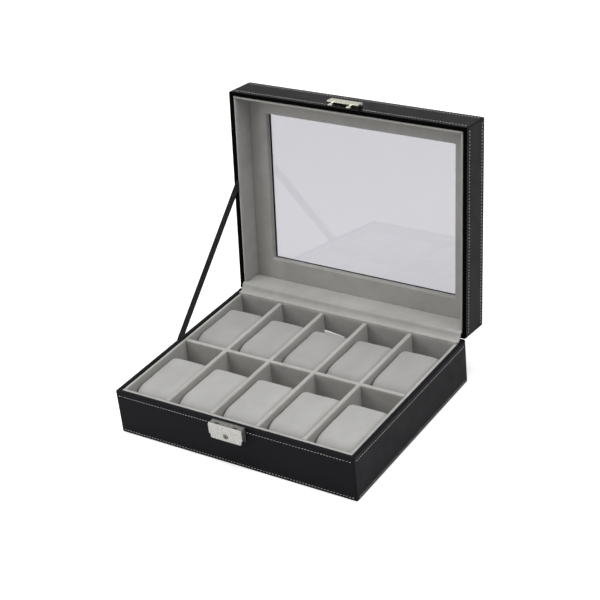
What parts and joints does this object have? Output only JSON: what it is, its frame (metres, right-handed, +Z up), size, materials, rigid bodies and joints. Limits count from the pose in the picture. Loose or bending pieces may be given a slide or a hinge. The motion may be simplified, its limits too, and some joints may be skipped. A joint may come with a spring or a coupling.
{
  "type": "watch box",
  "caption": "Leather-covered watch box with a hinged glass lid held open by a ribbon, lined compartments with lift-out watch pillows and a small key lock on the front",
  "frame": {"origin": "the middle of the felt on the underside, where the box stands on the table", "axes": "+X runs to the right along the front, +Y runs from the front to the hinges, +Z is up; the lid rests open"},
  "size_m": [0.25, 0.2646, 0.2517],
  "materials": {
    "leather": "black grained artificial leather, satin",
    "board": "raw medium-density fibreboard",
    "lining": "light grey short-pile velour",
    "pillow": "light grey short-pile velour over soft foam",
    "felt": "thin black felt",
    "thread": "light grey polyester thread",
    "label": "blank white woven tape",
    "ribbon": "black woven ribbon",
    "glass": "clear float glass",
    "steel": "bright nickel plate on pressed steel"
  },
  "bodies": {
    "base": {"base_front_board": "board", "base_front_lining": "lining", "base_back_board": "board", "base_back_lining": "lining", "base_left_board": "board", "base_left_lining": "lining", "base_right_board": "board", "base_right_lining": "lining", "base_bottom_board": "board", "base_leather": "leather", "underside_felt": "felt", "base_floor_lining": "lining", "long_divider": "lining", "cross_divider_1": "lining", "cross_divider_2": "lining", "cross_divider_3": "lining", "cross_divider_4": "lining", "hinge_base_leaves": "steel", "hinge_pins": "steel", "hinge_base_rivets": "steel", "lock_back_plate": "steel", "lock_cover": "steel", "lock_guide_posts": "steel", "lock_nails": "steel", "hinge_strip": "lining", "ribbon_stay": "ribbon"},
    "lid": {"lid_front_board": "board", "lid_back_board": "board", "lid_left_board": "board", "lid_right_board": "board", "lid_front_lining": "lining", "lid_back_lining": "lining", "lid_left_lining": "lining", "lid_right_lining": "lining", "lid_top_frame": "board", "lid_leather": "leather", "lid_glass": "glass", "lid_bezel": "lining", "hinge_lid_leaves": "steel", "hinge_lid_rivets": "steel", "strike": "steel", "strike_nails": "steel"},
    "barrel": {"lock_barrel": "steel"},
    "bolt": {"lock_bolt": "steel"},
    "pillow_front_1": {"pillow_front_1": "pillow"},
    "pillow_front_2": {"pillow_front_2": "pillow"},
    "pillow_front_3": {"pillow_front_3": "pillow"},
    "pillow_front_4": {"pillow_front_4": "pillow"},
    "pillow_front_5": {"pillow_front_5": "pillow"},
    "pillow_back_1": {"pillow_back_1": "pillow"},
    "pillow_back_2": {"pillow_back_2": "pillow"},
    "pillow_back_3": {"pillow_back_3": "pillow", "pillow_label": "label"},
    "pillow_back_4": {"pillow_back_4": "pillow"},
    "pillow_back_5": {"pillow_back_5": "pillow"}
  },
  "joints": [
    {"name": "lid_hinge", "type": "hinge", "parent": "base", "child": "lid", "pos_m": [0, 0.1011, 0.04525], "axis": [-1, 0, 0], "range_deg": [-96, 0], "deforming": ["ribbon_stay", "hinge_strip"]},
    {"name": "key_turn", "type": "hinge", "parent": "base", "child": "barrel", "pos_m": [0, -0.108, 0.0349], "axis": [0, -1, 0], "range_deg": [0, 90]},
    {"name": "bolt_slide", "type": "slide", "parent": "base", "child": "bolt", "axis": [-1, 0, 0], "range_m": [0, 0.00226]},
    {"name": "pillow_front_1_lift", "type": "slide", "parent": "base", "child": "pillow_front_1", "axis": [0, 0, 1], "range_m": [0, 0.05]},
    {"name": "pillow_front_2_lift", "type": "slide", "parent": "base", "child": "pillow_front_2", "axis": [0, 0, 1], "range_m": [0, 0.05]},
    {"name": "pillow_front_3_lift", "type": "slide", "parent": "base", "child": "pillow_front_3", "axis": [0, 0, 1], "range_m": [0, 0.05]},
    {"name": "pillow_front_4_lift", "type": "slide", "parent": "base", "child": "pillow_front_4", "axis": [0, 0, 1], "range_m": [0, 0.05]},
    {"name": "pillow_front_5_lift", "type": "slide", "parent": "base", "child": "pillow_front_5", "axis": [0, 0, 1], "range_m": [0, 0.05]},
    {"name": "pillow_back_1_lift", "type": "slide", "parent": "base", "child": "pillow_back_1", "axis": [0, 0, 1], "range_m": [0, 0.05]},
    {"name": "pillow_back_2_lift", "type": "slide", "parent": "base", "child": "pillow_back_2", "axis": [0, 0, 1], "range_m": [0, 0.05]},
    {"name": "pillow_back_3_lift", "type": "slide", "parent": "base", "child": "pillow_back_3", "axis": [0, 0, 1], "range_m": [0, 0.05]},
    {"name": "pillow_back_4_lift", "type": "slide", "parent": "base", "child": "pillow_back_4", "axis": [0, 0, 1], "range_m": [0, 0.05]},
    {"name": "pillow_back_5_lift", "type": "slide", "parent": "base", "child": "pillow_back_5", "axis": [0, 0, 1], "range_m": [0, 0.05]}
  ],
  "couplings": [
    {"joint": "key_turn", "follows": "bolt_slide", "rad_per_m": 694.2}
  ]
}
